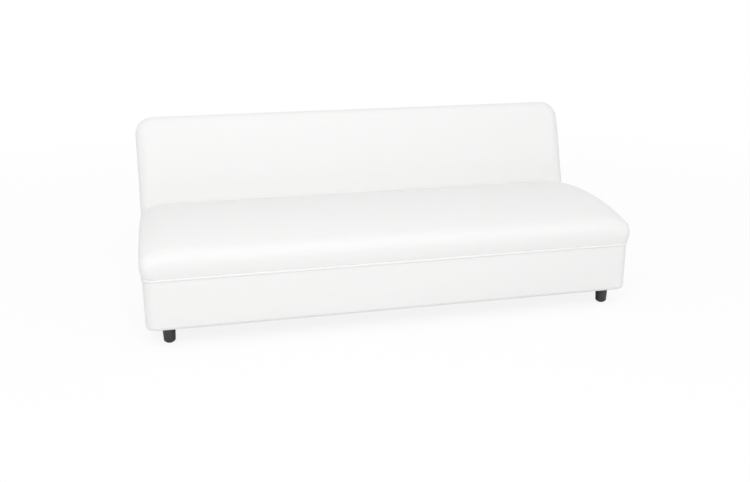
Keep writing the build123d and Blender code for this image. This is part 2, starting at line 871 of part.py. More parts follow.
with BuildPart() as back_webbing_long:
    for row, up in enumerate(back_rows):
        over = [x - back_row_start for column, x in enumerate(back_columns) if (row + column) % 2]
        origin = face_plane.from_local_coords((back_row_start, up, -back_frame_in))
        plane = Plane(origin=origin, x_dir=(1, 0, 0), z_dir=-up_the_face)
        add(strap(plane, -2 * back_row_start, over))
back_webbing_long.part.label = "back_webbing_long"
export_step(back_webbing_long.part, "parts/back_webbing_long.step")

with BuildPart() as back_webbing_upright:
    for column, x in enumerate(back_columns):
        over = [up - back_column_start for row, up in enumerate(back_rows) if not (row + column) % 2]
        origin = face_plane.from_local_coords((x, back_column_start, -back_frame_in))
        plane = Plane(origin=origin, x_dir=up_the_face, z_dir=(1, 0, 0))
        add(strap(plane, back_column_length, over))
back_webbing_upright.part.label = "back_webbing_upright"
export_step(back_webbing_upright.part, "parts/back_webbing_upright.step")

back_deck = raked_board(
    back_frame_half,
    back_rail_lift,
    back_frame_up,
    back_frame_in - deck_rise - deck_cloth,
    back_frame_in - deck_rise,
)
back_deck.part.label = "back_deck_cloth"
export_step(back_deck.part, "parts/back_deck_cloth.step")

backboard_piece = raked_board(
    back_frame_half, back_rail_lift, back_frame_up, back_frame_out, back_frame_out + backboard
)
backboard_piece.part.label = "backboard"
export_step(backboard_piece.part, "parts/backboard.step")

# ---- Back upholstery -----------------------------------------------------------------------

# The frame's own space, behind the face foam: foam and wadding wrap round its top and ends.
frame_space = raked_board(
    back_frame_half + layer_gap,
    -back_thickness,
    back_frame_up + layer_gap,
    foam_inset + back_foam,
    2 * back_thickness,
)
back_sole = base_top + layer_gap

with BuildPart() as back_foam_piece:
    add(back_form(foam_inset))
    split(bisect_by=Plane.XY.offset(back_sole), keep=Keep.TOP)
    add(frame_space.part, mode=Mode.SUBTRACT)
back_foam_piece.part.label = "back_foam"
export_step(back_foam_piece.part, "parts/back_foam.step")

with BuildPart() as back_wadding:
    add(back_form(cover + layer_gap))
    split(bisect_by=Plane.XY.offset(back_sole), keep=Keep.TOP)
    add(back_form(foam_inset - layer_gap), mode=Mode.SUBTRACT)
    add(frame_space.part, mode=Mode.SUBTRACT)
back_wadding.part.label = "back_wadding"
export_step(back_wadding.part, "parts/back_wadding.step")

rear_wadding_in = back_frame_out + backboard + layer_gap
with BuildPart() as rear_wadding_piece:
    add(
        raked_board(
            back_frame_half,
            back_rail_lift,
            back_frame_up,
            rear_wadding_in,
            rear_wadding_in + rear_wadding,
        ).part
    )
    corners = rear_wadding_piece.edges().filter_by(runs_in)
    upper = corners.filter_by(lambda edge: height_up(edge) > back_up / 2)
    fillet(upper, rear_wadding_corner)
rear_wadding_piece.part.label = "rear_wadding"
export_step(rear_wadding_piece.part, "parts/rear_wadding.step")

# The cover is open at its foot, where its edge is stapled to the base.
with BuildPart() as back_skin:
    add(back_form(0))
    add(back_form(cover), mode=Mode.SUBTRACT)

# The outside back is a flat panel of its own, sewn in beside the rear's rounded rim.
rear_seam_in = back_edge_radius + rear_seam_inset
rear_panel_space = raked_board(
    half_length - rear_seam_in,
    -back_thickness,
    back_up - rear_seam_in,
    back_thickness - cover,
    back_thickness + cover,
)
with BuildPart() as back_cover:
    add(back_skin.part)
    add(rear_panel_space.part, mode=Mode.SUBTRACT)
back_cover.part.label = "back_cover"
export_step(back_cover.part, "parts/back_cover.step")

with BuildPart() as rear_panel:
    add(back_skin.part)
    add(rear_panel_space.part, mode=Mode.INTERSECT)
rear_panel.part.label = "rear_panel"
export_step(rear_panel.part, "parts/rear_panel.step")
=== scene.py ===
"""Dresses, finishes and stages a packed armless sofa.

Everything is in metres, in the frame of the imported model: +Z up, +X along the seat and +Y
towards the back, with the floor at Z = 0.
"""

import json
import math
import random

import bmesh
import bpy
from mathutils import Matrix, Vector


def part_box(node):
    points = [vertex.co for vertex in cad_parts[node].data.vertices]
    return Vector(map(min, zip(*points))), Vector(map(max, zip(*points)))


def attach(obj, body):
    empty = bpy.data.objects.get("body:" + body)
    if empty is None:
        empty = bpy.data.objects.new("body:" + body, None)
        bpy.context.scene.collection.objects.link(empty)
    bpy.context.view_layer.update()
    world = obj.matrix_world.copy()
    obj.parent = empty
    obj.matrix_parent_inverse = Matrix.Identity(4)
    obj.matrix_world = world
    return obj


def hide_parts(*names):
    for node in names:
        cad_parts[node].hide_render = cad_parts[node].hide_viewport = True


bl_info = {
    "name": "Armless Sofa",
    "version": (1, 0, 0),
    "blender": (4, 5, 0),
    "location": "3D View > Sidebar > Sofa",
    "description": "Upholsters, finishes and stages an armless sofa round its packed model",
    "category": "Object",
}

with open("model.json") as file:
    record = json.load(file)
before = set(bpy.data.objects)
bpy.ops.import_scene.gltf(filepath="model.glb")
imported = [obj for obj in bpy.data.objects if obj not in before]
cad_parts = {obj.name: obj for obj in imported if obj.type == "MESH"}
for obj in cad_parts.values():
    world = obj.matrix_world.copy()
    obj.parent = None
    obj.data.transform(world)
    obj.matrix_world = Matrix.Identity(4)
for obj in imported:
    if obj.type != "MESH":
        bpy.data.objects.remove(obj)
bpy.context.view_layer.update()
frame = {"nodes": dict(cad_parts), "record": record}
CAD_NODES = frame["nodes"]

SEAT_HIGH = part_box("seat_cover")[1]
BASE_LOW, BASE_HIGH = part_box("base_cover")
CLOTH_LOW, CLOTH_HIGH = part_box("dust_cover")
PIPING_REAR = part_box("seat_piping")[1].y
SEAM_Z = BASE_HIGH.z
NEAR = 1e-5  # points this close to a place are taken to be there
FACING = 0.99  # a face whose normal has this much of a direction faces that way

# Covers of the seat and the back
AT_FOOT = 0.004  # height over which a point counts as lying along a cover's foot
TUCK = 0.012  # how far that foot is drawn on down into the base
TUCK_IN = 0.004  # how much narrower and shallower it is there
EVEN_PASSES = 4  # smoothing that takes the steps out of a mesh of even cells
FULLNESS = 0.02  # share by which a cover is cut too large, so that it can swell
SEAT_FREE_ABOVE_SEAM = 0.05  # from here on the filling moves the seat's cover freely
SEAT_FREE_FROM_BACK = 0.12
BACK_FREE_ABOVE_SEAT = 0.08
SHARP = math.radians(16)  # from this angle on two faces meet in a rim
RIM_PASSES = 2  # smoothing along a rim
CLEARANCE = 0.0010  # cover to what it holds
SEAM_ROLL = 0.012  # width over which the back's cover rolls into its rear seam

# Base
BASE_CELLS = (110, 36, 12)  # along it, across it and up it
CORNER_FACETS = 12
TURN_UNDER_FACETS = 5
HEM_RISE = 0.0015  # hem to the frame's underside
CLOUD_SIZE = 0.30  # width of a swelling of the padding
CLOUD_LEVEL = 0.4  # value of the swellings at which the cover stays where it is
PLAIN_EDGE = 0.012  # the padding isn't felt this close to an edge
EDGE_FADE = 0.05  # and is felt fully this much further in

# Outside back
PANEL_CELLS = (110, 34)  # along it and up it
PANEL_EASE = 0.002  # how much larger than its node the panel is cut
PANEL_SUNK = 0.004  # how deep its seam lies behind the node's face
PANEL_SWELL = 0.002  # how far its middle stands out over its rim
PANEL_SWELL_WIDTH = 0.03
PANEL_THICKNESS = 0.0018
RIM_STEPS = 4  # insets that roll its rim

# Piping
PIPING_FACETS = 14  # round a corner of the base
PIPING_ROUNDNESS = 4  # bevel resolution of its section
PIPING_FINENESS = 1.45  # of its grain against the covers'
PIPING_GRAIN_DEPTH = 0.0002

# Dust cloth and its staples
CLOTH_CELLS = (90, 40)  # along it and across it
CLOTH_THICKNESS = 0.0004
CLOTH_TAUT_EDGE = 0.08  # width along the staples that stays flat
CLOTH_FADE = 0.15  # width over which its slack then grows
CLOTH_SAG = 0.0016
CLOTH_RIPPLE = 0.0007
CLOTH_WAVES = (17.0, 9.0)  # of the ripple along the cloth and across it, in radians per metre
CLOTH_WANDER = 2.0  # how far the second bends the first, in radians
STAPLE_CROWN = (0.010, 0.0007, 0.0006)  # its length, and its wire's width and thickness
STAPLE_LEG = 0.005
STAPLE_INSET = 0.010  # edge of the dust cloth to its row of staples
STAPLE_SLANT = 0.12  # how much they vary, in radians
STAPLE_SEED = 4

# Finishes
CREASE_PAINTED_SHADE = 0.94  # painted shade: colour of the grain's creases against its pebbles
CREASE_WIDTH = 0.22  # in pebbles, as is the shift
PEBBLE_SHIFT = 0.8
SHIFT_FINENESS = 0.6  # of the noise that moves the pebbles out of their even cells
PORE_FINENESS = 3.0  # pores across a pebble
PORE_HEIGHT = 0.25  # against a pebble's
GRAIN_DEPTH = 0.00025
SATIN = (0.50, 0.58)  # roughness of the leatherette where it is handled most and least
CREASE_DULLNESS = 0.06  # added to it in a crease
BLACK_FIBRES = {
    "dark": (0.012,) * 3, "pale": (0.045,) * 3, "scale": 900.0, "roughness": 0.85,
    "depth": 0.0003,
}
EDGE_ANGLE = math.radians(40)  # up to this angle a piece is shaded smooth

# Stage
FLOOR_WIDTH = 40.0
FLOOR_MIDDLE = (0.0, 8.0, 0.0)
FLOOR_FADE = (1.2, 5.0)  # distances over which the seen floor fades to white
FLOOR_SHADE = 0.88  # how much of that white it has near the sofa
PAPER = 0.90  # reflectance of the floor
DAYLIGHT = 0.78  # how strongly the world lights the sofa; to the camera it is white
SENSOR = 36.0  # width in millimetres
LAMPS = (  # name, place, aim, width, watts
    ("front softbox", (-0.9, -3.35, 3.65), (0.0, 0.0, 0.35), 2.8, 80.0),
    ("side softbox", (3.4, -3.4, 1.8), (0.2, 0.0, 0.35), 2.4, 6.0),
)


# ---- What a user would change ---------------------------------------------------------------


class SofaUpholstery(bpy.types.PropertyGroup):
    """Sizes of the upholstery."""

    cloth_cell: bpy.props.FloatProperty(
        name="Cloth cell", description="Mesh size of padded pieces", default=0.012, unit="LENGTH"
    )
    pressure: bpy.props.FloatProperty(
        name="Filling pressure", description="How hard the filling presses", default=4.0
    )
    settle_frames: bpy.props.IntProperty(
        name="Settling steps", description="Steps that the cloth is given", default=20
    )
    seat_give: bpy.props.FloatProperty(
        name="Seat give", description="Most that the seat's cover moves", default=0.004,
        unit="LENGTH",
    )
    back_give: bpy.props.FloatProperty(
        name="Back give", description="Most that the back's cover moves", default=0.003,
        unit="LENGTH",
    )
    corner: bpy.props.FloatProperty(
        name="Corner radius", description="Upright corners of the base", default=0.040,
        unit="LENGTH",
    )
    turn_under: bpy.props.FloatProperty(
        name="Turn-under radius", description="Lower edge of the base", default=0.014,
        unit="LENGTH",
    )
    base_unevenness: bpy.props.FloatProperty(
        name="Unevenness", description="Padding felt through the base's cover", default=0.0018,
        unit="LENGTH",
    )
    hem: bpy.props.FloatProperty(
        name="Hem width", description="Cover turned under the base", default=0.030, unit="LENGTH"
    )
    staple_pitch: bpy.props.FloatProperty(
        name="Staple pitch", description="Distance between staples", default=0.045, unit="LENGTH"
    )
    piping: bpy.props.FloatProperty(
        name="Piping radius", description="Cord and its sleeve", default=0.005, unit="LENGTH"
    )
    piping_sunk: bpy.props.FloatProperty(
        name="Piping depth", description="Centre of the piping behind the base's face",
        default=0.0012, unit="LENGTH",
    )
    seam_sink: bpy.props.FloatProperty(
        name="Seam depth", description="How deep the outside back's seam is drawn in",
        default=0.0018, unit="LENGTH",
    )
    rim: bpy.props.FloatProperty(
        name="Rim radius", description="Rolled rim of the outside back", default=0.005,
        unit="LENGTH",
    )


class SofaFinishes(bpy.types.PropertyGroup):
    """Colours and textures of the sofa's materials."""

    leatherette: bpy.props.FloatVectorProperty(
        name="Leatherette", description="Colour of the covers", subtype="COLOR",
        default=(0.90, 0.90, 0.895),
    )
    grain: bpy.props.FloatProperty(
        name="Grain size", description="Width of a pebble of grain", default=0.0016,
        unit="LENGTH",
    )
    reflection: bpy.props.FloatProperty(
        name="Reflection", description="Specular level of the leatherette", default=0.3
    )
    foot_black: bpy.props.FloatVectorProperty(
        name="Feet", description="Colour of the feet", subtype="COLOR",
        default=(0.035, 0.035, 0.035),
    )


class SofaStage(bpy.types.PropertyGroup):
    """The camera's place, turn and lens."""

    camera_place: bpy.props.FloatVectorProperty(
        name="Camera", description="Where the camera stands", default=(-0.8039, -3.4219, 1.2428),
        unit="LENGTH",
    )
    yaw: bpy.props.FloatProperty(
        name="Yaw", description="Turn towards +X", default=math.radians(13.19), unit="ROTATION"
    )
    pitch: bpy.props.FloatProperty(
        name="Pitch", description="Look down", default=math.radians(16.25), unit="ROTATION"
    )
    roll: bpy.props.FloatProperty(
        name="Roll", description="Tilt of the picture", default=math.radians(-0.43),
        unit="ROTATION",
    )
    lens: bpy.props.FloatProperty(
        name="Lens", description="Focal length in millimetres", default=41.86
    )


# ---- Handling meshes ------------------------------------------------------------------------


def clamped(*values):
    """The least of some values, kept between 0 and 1."""
    return max(0.0, min(1.0, *values))


def size_and_middle(low, high):
    """A box's size and its middle."""
    return high - low, (low + high) / 2


def deselect():
    """Nothing selected, in object mode."""
    if bpy.context.mode != "OBJECT":
        bpy.ops.object.mode_set(mode="OBJECT")
    bpy.ops.object.select_all(action="DESELECT")


def take_up(piece):
    """Makes a piece the only one selected."""
    deselect()
    bpy.context.view_layer.objects.active = piece
    piece.select_set(True)


def fresh(name):
    """The primitive just added, named and taken up."""
    piece = bpy.context.object
    piece.name = name
    piece.data.name = name
    take_up(piece)
    return piece


def edit(piece):
    """Edit mode on a piece, with nothing of its mesh selected."""
    take_up(piece)
    bpy.ops.object.mode_set(mode="EDIT")
    bpy.ops.mesh.select_mode(type="FACE")
    bpy.ops.mesh.select_all(action="DESELECT")
    return bmesh.from_edit_mesh(piece.data)


def pick(piece, parts, test):
    """Selects the vertices, edges or faces that pass a test."""
    kinds = {"verts": "VERT", "edges": "EDGE", "faces": "FACE"}
    bpy.ops.mesh.select_mode(type=kinds[parts])
    bpy.ops.mesh.select_all(action="DESELECT")
    mesh = bmesh.from_edit_mesh(piece.data)
    for part in getattr(mesh, parts):
        if test(part):
            part.select_set(True)
    mesh.select_flush_mode()
    bmesh.update_edit_mesh(piece.data)


def apply_all(piece):
    """Applies every modifier of a piece in turn."""
    take_up(piece)
    for modifier in list(piece.modifiers):
        bpy.ops.object.modifier_apply(modifier=modifier.name)


def settle_place(piece):
    """Puts a piece's place and turn into its mesh."""
    take_up(piece)
    bpy.ops.object.transform_apply(location=True, rotation=True, scale=True)


def smooth(piece, angle=None):
    """Smooth shading, or smooth up to an angle."""
    take_up(piece)
    if angle is None:
        bpy.ops.object.shade_smooth()
    else:
        bpy.ops.object.shade_smooth_by_angle(angle=angle)


def fit_out(piece, material, slot, *nodes):
    """Gives a finished piece its material, hides the nodes it stands for and hangs it under the
    root.
    """
    piece.data.materials.clear()
    piece.data.materials.append(material)
    if nodes:
        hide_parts(*nodes)
    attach(piece, "root")


def extrude(height):
    """Extrudes the selected faces along Z."""
    bpy.ops.mesh.extrude_region_move(TRANSFORM_OT_translate={"value": (0.0, 0.0, height)})


def cut_walls(piece, place, normal):
    """Cuts a new line of edges across a piece's upright faces."""
    pick(piece, "faces", lambda f: abs(f.normal.z) < 1.0 - FACING)
    bpy.ops.mesh.bisect(plane_co=place, plane_no=normal)


def is_at_foot(edge, level):
    """Whether an edge lies along the foot of a cover."""
    return all(abs(vertex.co.z - level) < AT_FOOT for vertex in edge.verts)


def outer_skin(node, name):
    """The outer surface of a cover, its foot drawn on down into the base and closed."""
    piece = CAD_NODES[node].copy()
    piece.data = piece.data.copy()
    piece.name = name
    piece.data.name = name
    piece.parent = None
    for key in list(piece.keys()):
        del piece[key]
    bpy.context.scene.collection.objects.link(piece)
    edit(piece)
    bpy.ops.mesh.select_all(action="SELECT")
    bpy.ops.mesh.remove_doubles(threshold=NEAR)
    low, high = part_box(node)
    size, middle = size_and_middle(low, high)
    pick(piece, "faces", lambda f: (f.calc_center_median() - middle).dot(f.normal) < 0)
    bpy.ops.mesh.delete(type="FACE")
    pick(piece, "edges", lambda e: e.is_boundary and is_at_foot(e, low.z))
    bpy.ops.mesh.extrude_edges_move(TRANSFORM_OT_translate={"value": (0.0, 0.0, -TUCK)})
    bpy.ops.transform.resize(
        value=(1.0 - TUCK_IN / size.x, 1.0 - TUCK_IN / size.y, 1.0), center_override=middle
    )
    bpy.ops.mesh.select_all(action="SELECT")
    bpy.ops.mesh.fill_holes(sides=0)
    bpy.ops.object.mode_set(mode="OBJECT")
    return piece


def rub(piece, passes, group=""):
    """Smooths a piece's points, or those of one group."""
    smoothing = piece.modifiers.new("rub", "SMOOTH")
    smoothing.factor = 0.5
    smoothing.iterations = passes
    smoothing.vertex_group = group
    apply_all(piece)


def even_mesh(piece, cell):
    """Makes the mesh over in even cells and rubs out their steps."""
    remesh = piece.modifiers.new("cells", "REMESH")
    remesh.mode = "VOXEL"
    remesh.voxel_size = cell
    apply_all(piece)
    rub(piece, EVEN_PASSES)


def hug(piece, form, stand_off=0.0, mode="ON_SURFACE", group=""):
    """Lays a piece's points, or those of one group, on a form, or keeps them outside it."""
    wrap = piece.modifiers.new("hug", "SHRINKWRAP")
    wrap.target = form
    wrap.wrap_method = "NEAREST_SURFACEPOINT"
    wrap.wrap_mode = mode
    wrap.offset = stand_off
    wrap.vertex_group = group
    apply_all(piece)


def find_rims(mesh, rings):
    """The points of a mesh's sharp rims, and some rings of points round them."""
    rim = {v for edge in mesh.edges if edge.calc_face_angle(0.0) > SHARP for v in edge.verts}
    for _ in range(rings):
        rim |= {edge.other_vert(vertex) for vertex in rim for edge in vertex.link_edges}
    return rim


def crisp_rims(piece, form):
    """Divides a piece's sharp rims more finely, lays them on its form and smooths them.

    The even cells cut such a rim short, and what the cover holds would show through.
    """
    mesh = edit(piece)
    for vertex in find_rims(mesh, 1):
        for face in vertex.link_faces:
            face.select_set(True)
    bmesh.update_edit_mesh(piece.data)
    bpy.ops.mesh.subdivide(number_cuts=1)
    mesh = bmesh.from_edit_mesh(piece.data)
    rim = sorted(vertex.index for vertex in find_rims(mesh, 2))
    bpy.ops.object.mode_set(mode="OBJECT")
    piece.vertex_groups.new(name="rims").add(rim, 1.0, "REPLACE")
    hug(piece, form, group="rims")
    rub(piece, RIM_PASSES, group="rims")
    piece.vertex_groups.clear()


def upholster(node, name, cell, give, hold, inner):
    """A cover made over in even cells, settled, divided and kept clear of what it holds."""
    form = outer_skin(node, name + "_form")
    take_up(form)
    bpy.ops.object.duplicate()
    piece = bpy.context.object
    piece.name = name
    piece.data.name = name
    even_mesh(piece, cell)
    hug(piece, form)
    settle_cover(piece, give, hold)
    subdivide(piece)
    crisp_rims(piece, form)
    hug(piece, CAD_NODES[inner], CLEARANCE, "OUTSIDE")
    bpy.data.objects.remove(form, do_unlink=True)
    smooth(piece)
    return piece


def settle_cover(piece, give, hold):
    """Lets the filling press the cover out; hold says how freely a point moves, from 0 to 1."""
    sofa = bpy.context.scene.sofa_upholstery
    start = [vertex.co.copy() for vertex in piece.data.vertices]
    cloth = piece.modifiers.new("cover", "CLOTH")
    cloth.settings.use_pressure = True
    cloth.settings.uniform_pressure_force = sofa.pressure
    cloth.settings.effector_weights.gravity = 0.0
    cloth.settings.shrink_min = -FULLNESS
    cloth.collision_settings.use_collision = False
    cloth.point_cache.frame_end = sofa.settle_frames
    for step in range(1, sofa.settle_frames + 1):
        bpy.context.scene.frame_set(step)
    apply_all(piece)
    bpy.context.scene.frame_set(1)
    for vertex, place in zip(piece.data.vertices, start):
        move = vertex.co - place
        if move.length > give:
            move *= give / move.length
        vertex.co = place + move * hold(place)


def subdivide(piece):
    """One level of subdivision surface."""
    surface = piece.modifiers.new("surface", "SUBSURF")
    surface.levels = 1
    surface.render_levels = 1
    apply_all(piece)


def outside_back_axes():
    """The outside back's own axes, and how far it reaches along each, from least to most."""
    node = CAD_NODES["rear_panel"].data
    out = max(node.polygons, key=lambda face: face.area * (face.normal.y > 0)).normal.copy()
    up = Vector((1.0, 0.0, 0.0)).cross(out).normalized()
    across = up.cross(out).normalized()
    spots = [vertex.co for vertex in node.vertices]
    axes = (across, up, out)
    most = Vector([max(spot.dot(axis) for spot in spots) for axis in axes])
    least = Vector([min(spot.dot(axis) for spot in spots) for axis in axes])
    return axes, least, most


# ---- Materials ------------------------------------------------------------------------------


def socket(tree, name, kind, way, default=None):
    """Gives a node group a socket."""
    made = tree.interface.new_socket(name=name, in_out=way, socket_type=f"NodeSocket{kind}")
    if default is not None:
        made.default_value = default


def feed(tree, value, target):
    """Links a socket to a node's input, or sets that input to a number."""
    if isinstance(value, bpy.types.NodeSocket):
        tree.links.new(value, target)
    else:
        target.default_value = value


def math_node(tree, operation, *values):
    """The result of a Math node; each value is a socket or a number."""
    node = tree.nodes.new("ShaderNodeMath")
    node.operation = operation
    for value, target in zip(values, node.inputs):
        feed(tree, value, target)
    return node.outputs[0]


def ranged(tree, value, low, high, new_low, new_high):
    """Maps a value from one range to another."""
    node = tree.nodes.new("ShaderNodeMapRange")
    tree.links.new(value, node.inputs["Value"])
    for name, number in (
        ("From Min", low), ("From Max", high), ("To Min", new_low), ("To Max", new_high)
    ):
        node.inputs[name].default_value = number
    return node.outputs[0]


def noise(tree, vector, scale, detail=2.0):
    """A Noise texture; its scale is a socket or a number."""
    node = tree.nodes.new("ShaderNodeTexNoise")
    tree.links.new(vector, node.inputs["Vector"])
    feed(tree, scale, node.inputs["Scale"])
    node.inputs["Detail"].default_value = detail
    return node


def pebble_group():
    """Node group: the embossed pebbles of leatherette, and a mask of the creases between."""
    if "pebble grain" in bpy.data.node_groups:
        return bpy.data.node_groups["pebble grain"]
    tree = bpy.data.node_groups.new("pebble grain", "ShaderNodeTree")
    socket(tree, "Vector", "Vector", "INPUT")
    socket(tree, "Pebbles per metre", "Float", "INPUT", 600.0)
    socket(tree, "Height", "Float", "OUTPUT")
    socket(tree, "Pebble", "Float", "OUTPUT")
    source = tree.nodes.new("NodeGroupInput")
    result = tree.nodes.new("NodeGroupOutput")
    scale = source.outputs["Pebbles per metre"]
    wander_scale = math_node(tree, "MULTIPLY", scale, SHIFT_FINENESS)
    wander = noise(tree, source.outputs["Vector"], wander_scale)
    shift = tree.nodes.new("ShaderNodeVectorMath")
    shift.operation = "SCALE"
    tree.links.new(wander.outputs["Color"], shift.inputs[0])
    tree.links.new(math_node(tree, "DIVIDE", PEBBLE_SHIFT, scale), shift.inputs["Scale"])
    moved = tree.nodes.new("ShaderNodeVectorMath")
    moved.operation = "ADD"
    tree.links.new(source.outputs["Vector"], moved.inputs[0])
    tree.links.new(shift.outputs[0], moved.inputs[1])
    cells = tree.nodes.new("ShaderNodeTexVoronoi")
    cells.feature = "DISTANCE_TO_EDGE"
    tree.links.new(moved.outputs[0], cells.inputs["Vector"])
    tree.links.new(scale, cells.inputs["Scale"])
    pebble = ranged(tree, cells.outputs["Distance"], 0.0, CREASE_WIDTH, 0.0, 1.0)
    pore_scale = math_node(tree, "MULTIPLY", scale, PORE_FINENESS)
    pores = noise(tree, source.outputs["Vector"], pore_scale)
    pore_height = math_node(tree, "MULTIPLY", pores.outputs["Fac"], PORE_HEIGHT)
    height = math_node(tree, "ADD", pebble, pore_height)
    tree.links.new(height, result.inputs["Height"])
    tree.links.new(pebble, result.inputs["Pebble"])
    return tree


def new_material(name):
    """A material with its Principled shader, its tree and object coordinates."""
    material = bpy.data.materials.new(name)
    material.use_nodes = True
    tree = material.node_tree
    shader = tree.nodes["Principled BSDF"]
    place = tree.nodes.new("ShaderNodeTexCoord").outputs["Object"]
    return material, tree, shader, place


def bump(tree, shader, height, distance):
    """Bump from a height to the shader's normal."""
    node = tree.nodes.new("ShaderNodeBump")
    node.inputs["Distance"].default_value = distance
    node.inputs["Strength"].default_value = 1.0
    tree.links.new(height, node.inputs["Height"])
    tree.links.new(node.outputs[0], shader.inputs["Normal"])


def two_tone(tree, shader, value, first, second):
    """Base colour between two tones."""
    ramp = tree.nodes.new("ShaderNodeValToRGB")
    ramp.color_ramp.elements[0].color = (*first, 1.0)
    ramp.color_ramp.elements[1].color = (*second, 1.0)
    tree.links.new(value, ramp.inputs["Fac"])
    tree.links.new(ramp.outputs["Color"], shader.inputs["Base Color"])


def shaded(colour, factor):
    """A colour made lighter or darker."""
    return tuple(channel * factor for channel in colour)


def leatherette(name, fineness=1.0, depth=GRAIN_DEPTH):
    """White satin leatherette: fine embossed grain with duller creases, and painted shade that
    makes them slightly darker.
    """
    finishes = bpy.context.scene.sofa_finishes
    colour = tuple(finishes.leatherette)
    material, tree, shader, place = new_material(name)
    shader.inputs["Specular IOR Level"].default_value = finishes.reflection
    grain = tree.nodes.new("ShaderNodeGroup")
    grain.node_tree = pebble_group()
    grain.inputs["Pebbles per metre"].default_value = fineness / finishes.grain
    tree.links.new(place, grain.inputs["Vector"])
    handling = noise(tree, place, scale=7.0, detail=3.0).outputs["Fac"]
    # Painted shade: the grain's creases are coloured darker than its pebbles.
    two_tone(tree, shader, grain.outputs["Pebble"], shaded(colour, CREASE_PAINTED_SHADE), colour)
    gloss = math_node(
        tree, "ADD",
        ranged(tree, grain.outputs["Pebble"], 0.0, 1.0, CREASE_DULLNESS, 0.0),
        ranged(tree, handling, 0.3, 0.7, *SATIN),
    )
    tree.links.new(gloss, shader.inputs["Roughness"])
    bump(tree, shader, grain.outputs["Height"], depth)
    return material


def plastic(name, colour, roughness, fineness):
    """Moulded plastic with a fine spark texture."""
    material, tree, shader, place = new_material(name)
    spark = noise(tree, place, scale=fineness, detail=4.0).outputs["Fac"]
    two_tone(tree, shader, spark, shaded(colour, 0.85), shaded(colour, 1.15))
    wear = ranged(tree, noise(tree, place, scale=40.0).outputs["Fac"], 0.3, 0.7, -0.05, 0.05)
    tree.links.new(math_node(tree, "ADD", wear, roughness), shader.inputs["Roughness"])
    bump(tree, shader, spark, distance=0.0002)
    return material


def timber():
    """Sawn softwood, its rings stretched along the sofa."""
    material, tree, shader, place = new_material("timber")
    mapping = tree.nodes.new("ShaderNodeMapping")
    mapping.inputs["Scale"].default_value = (1.5, 40.0, 40.0)
    tree.links.new(place, mapping.inputs["Vector"])
    rings = noise(tree, mapping.outputs[0], scale=2.0, detail=6.0).outputs["Fac"]
    two_tone(tree, shader, rings, (0.50, 0.33, 0.17), (0.80, 0.62, 0.40))
    tree.links.new(ranged(tree, rings, 0.0, 1.0, 0.8, 0.6), shader.inputs["Roughness"])
    bump(tree, shader, rings, distance=0.0004)
    return material


def fibres(name, dark, pale, scale, roughness, depth):
    """Loose fibres, foam cells or pressed board: a mottled, dull surface."""
    material, tree, shader, place = new_material(name)
    mottle = noise(tree, place, scale, detail=5.0).outputs["Fac"]
    two_tone(tree, shader, mottle, dark, pale)
    tree.links.new(
        ranged(tree, mottle, 0.0, 1.0, roughness + 0.08, roughness - 0.08),
        shader.inputs["Roughness"],
    )
    bump(tree, shader, mottle, depth)
    return material


def weave_group():
    """Node group: threads that cross over and under each other in X and Y."""
    if "plain weave" in bpy.data.node_groups:
        return bpy.data.node_groups["plain weave"]
    tree = bpy.data.node_groups.new("plain weave", "ShaderNodeTree")
    socket(tree, "Vector", "Vector", "INPUT")
    socket(tree, "Threads per metre", "Float", "INPUT", 800.0)
    socket(tree, "Height", "Float", "OUTPUT")
    source = tree.nodes.new("NodeGroupInput")
    result = tree.nodes.new("NodeGroupOutput")
    axes = tree.nodes.new("ShaderNodeSeparateXYZ")
    tree.links.new(source.outputs["Vector"], axes.inputs[0])
    half_turns = math_node(tree, "MULTIPLY", source.outputs["Threads per metre"], math.pi)
    across, along = (
        math_node(tree, "SINE", math_node(tree, "MULTIPLY", axes.outputs[axis], half_turns))
        for axis in "XY"
    )
    crossing = math_node(tree, "MULTIPLY", across, along)
    height = ranged(tree, crossing, -1.0, 1.0, 0.0, 1.0)
    tree.links.new(height, result.inputs["Height"])
    return tree


def woven(name, dark, pale, threads_per_metre, depth):
    """A plain-woven cloth or webbing."""
    material, tree, shader, place = new_material(name)
    weave = tree.nodes.new("ShaderNodeGroup")
    weave.node_tree = weave_group()
    weave.inputs["Threads per metre"].default_value = threads_per_metre
    tree.links.new(place, weave.inputs["Vector"])
    slub = noise(tree, place, scale=60.0, detail=3.0).outputs["Fac"]
    mixed = math_node(
        tree, "ADD",
        math_node(tree, "MULTIPLY", weave.outputs["Height"], 0.6),
        math_node(tree, "MULTIPLY", slub, 0.4),
    )
    # Painted shade: the cloth is coloured darker where its threads dip, mixed with real slub
    # tone.
    two_tone(tree, shader, mixed, dark, pale)
    tree.links.new(ranged(tree, mixed, 0.0, 1.0, 0.92, 0.78), shader.inputs["Roughness"])
    bump(tree, shader, mixed, depth)
    return material


def zinc():
    """Zinc-plated steel with a faint crystal pattern."""
    material, tree, shader, place = new_material("zinc plated steel")
    shader.inputs["Metallic"].default_value = 1.0
    crystals = noise(tree, place, scale=400.0).outputs["Fac"]
    two_tone(tree, shader, crystals, (0.55, 0.56, 0.58), (0.78, 0.78, 0.80))
    tree.links.new(ranged(tree, crystals, 0.0, 1.0, 0.28, 0.42), shader.inputs["Roughness"])
    bump(tree, shader, crystals, distance=0.00005)
    return material


# ---- Operators: one for each piece or group -------------------------------------------------


class SOFA_OT_seat(bpy.types.Operator):
    """Upholsters the crowned seat."""

    bl_idname = "sofa.seat"
    bl_label = "Upholster the seat"

    def execute(self, context):
        sofa = context.scene.sofa_upholstery

        def hold(place):
            over_seam = (place.z - SEAM_Z) / SEAT_FREE_ABOVE_SEAM
            to_back = (SEAT_HIGH.y - place.y) / SEAT_FREE_FROM_BACK
            return clamped(over_seam, to_back)

        seat = upholster(
            "seat_cover", "seat", sofa.cloth_cell, sofa.seat_give, hold, "seat_wadding"
        )
        fit_out(seat, leatherette("seat leatherette"), "leatherette", "seat_cover")
        return {"FINISHED"}


